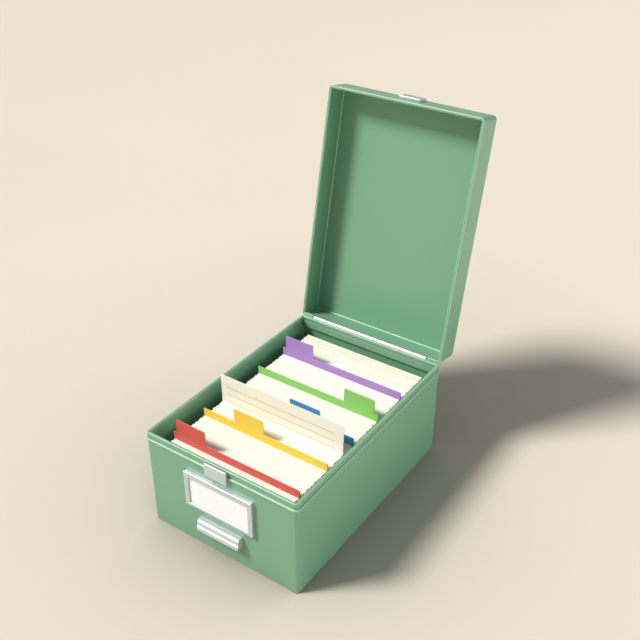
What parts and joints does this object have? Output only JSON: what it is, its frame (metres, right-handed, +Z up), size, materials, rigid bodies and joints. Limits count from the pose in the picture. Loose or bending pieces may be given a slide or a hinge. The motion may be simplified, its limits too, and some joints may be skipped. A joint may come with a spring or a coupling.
{
  "type": "index card box",
  "caption": "Steel index card box with a hinged lid, front label holder and finger pull, filled with cards behind coloured tabbed dividers.",
  "frame": {"origin": "on the table under the middle of the box, at the middle of its flat underside", "axes": "+X to the right as seen from the front, +Y from the front to the hinge, +Z up"},
  "size_m": [0.155, 0.2974, 0.3134],
  "materials": {
    "green_enamel": "satin enamel baked on steel",
    "bright_steel": "bright nickel plate on steel",
    "white_card": "smooth card",
    "card_stock": "smooth index card stock",
    "cream_card": "cream index card stock",
    "red_board": "coloured divider board",
    "yellow_board": "coloured divider board",
    "blue_board": "coloured divider board",
    "green_board": "coloured divider board",
    "purple_board": "coloured divider board"
  },
  "bodies": {
    "box": {"box_shell": "green_enamel", "floor_tray": "green_enamel", "hinge_backing_strip": "green_enamel", "box_hinge_leaf": "bright_steel", "hinge_pin": "bright_steel", "front_catch": "bright_steel", "label_holder": "bright_steel", "finger_pull": "bright_steel"},
    "lid": {"lid_shell": "green_enamel", "lid_hinge_leaf": "bright_steel", "lid_thumb_plate": "bright_steel"},
    "label_card": {"label_card": "white_card"},
    "raised_card": {"raised_card": "cream_card"},
    "divider_red": {"divider_red": "red_board"},
    "divider_yellow": {"divider_yellow": "yellow_board"},
    "divider_blue": {"divider_blue": "blue_board"},
    "divider_green": {"divider_green": "green_board"},
    "divider_purple": {"divider_purple": "purple_board"},
    "cards_front": {"cards_front": "card_stock"},
    "cards_red": {"cards_red": "card_stock"},
    "cards_yellow": {"cards_yellow": "card_stock"},
    "cards_raised": {"cards_raised": "card_stock"},
    "cards_blue": {"cards_blue": "card_stock"},
    "cards_green": {"cards_green": "card_stock"},
    "cards_purple": {"cards_purple": "card_stock"},
    "cards_rear": {"cards_rear": "cream_card"}
  },
  "joints": [
    {"name": "lid_hinge", "type": "hinge", "parent": "box", "child": "lid", "pos_m": [0, 0.111, 0.0965], "axis": [-1, 0, 0], "range_deg": [-101.9, 0]},
    {"name": "label_slide", "type": "slide", "parent": "box", "child": "label_card", "axis": [-1, 0, 0], "range_m": [0, 0.07]},
    {"name": "raised_card_lift", "type": "slide", "parent": "box", "child": "raised_card", "axis": [0, 0, 1], "range_m": [-0.029, 0.066]},
    {"name": "divider_red_lift", "type": "slide", "parent": "box", "child": "divider_red", "axis": [0, 0, 1], "range_m": [0, 0.095]},
    {"name": "divider_yellow_lift", "type": "slide", "parent": "box", "child": "divider_yellow", "axis": [0, 0, 1], "range_m": [0, 0.095]},
    {"name": "divider_blue_lift", "type": "slide", "parent": "box", "child": "divider_blue", "axis": [0, 0, 1], "range_m": [0, 0.095]},
    {"name": "divider_green_lift", "type": "slide", "parent": "box", "child": "divider_green", "axis": [0, 0, 1], "range_m": [0, 0.095]},
    {"name": "divider_purple_lift", "type": "slide", "parent": "box", "child": "divider_purple", "axis": [0, 0, 1], "range_m": [0, 0.095]},
    {"name": "cards_front_lift", "type": "slide", "parent": "box", "child": "cards_front", "axis": [0, 0, 1], "range_m": [0, 0.095]},
    {"name": "cards_red_lift", "type": "slide", "parent": "box", "child": "cards_red", "axis": [0, 0, 1], "range_m": [0, 0.095]},
    {"name": "cards_yellow_lift", "type": "slide", "parent": "box", "child": "cards_yellow", "axis": [0, 0, 1], "range_m": [0, 0.095]},
    {"name": "cards_raised_lift", "type": "slide", "parent": "box", "child": "cards_raised", "axis": [0, 0, 1], "range_m": [0, 0.095]},
    {"name": "cards_blue_lift", "type": "slide", "parent": "box", "child": "cards_blue", "axis": [0, 0, 1], "range_m": [0, 0.095]},
    {"name": "cards_green_lift", "type": "slide", "parent": "box", "child": "cards_green", "axis": [0, 0, 1], "range_m": [0, 0.095]},
    {"name": "cards_purple_lift", "type": "slide", "parent": "box", "child": "cards_purple", "axis": [0, 0, 1], "range_m": [0, 0.095]},
    {"name": "cards_rear_lift", "type": "slide", "parent": "box", "child": "cards_rear", "axis": [0, 0, 1], "range_m": [0, 0.095]}
  ]
}
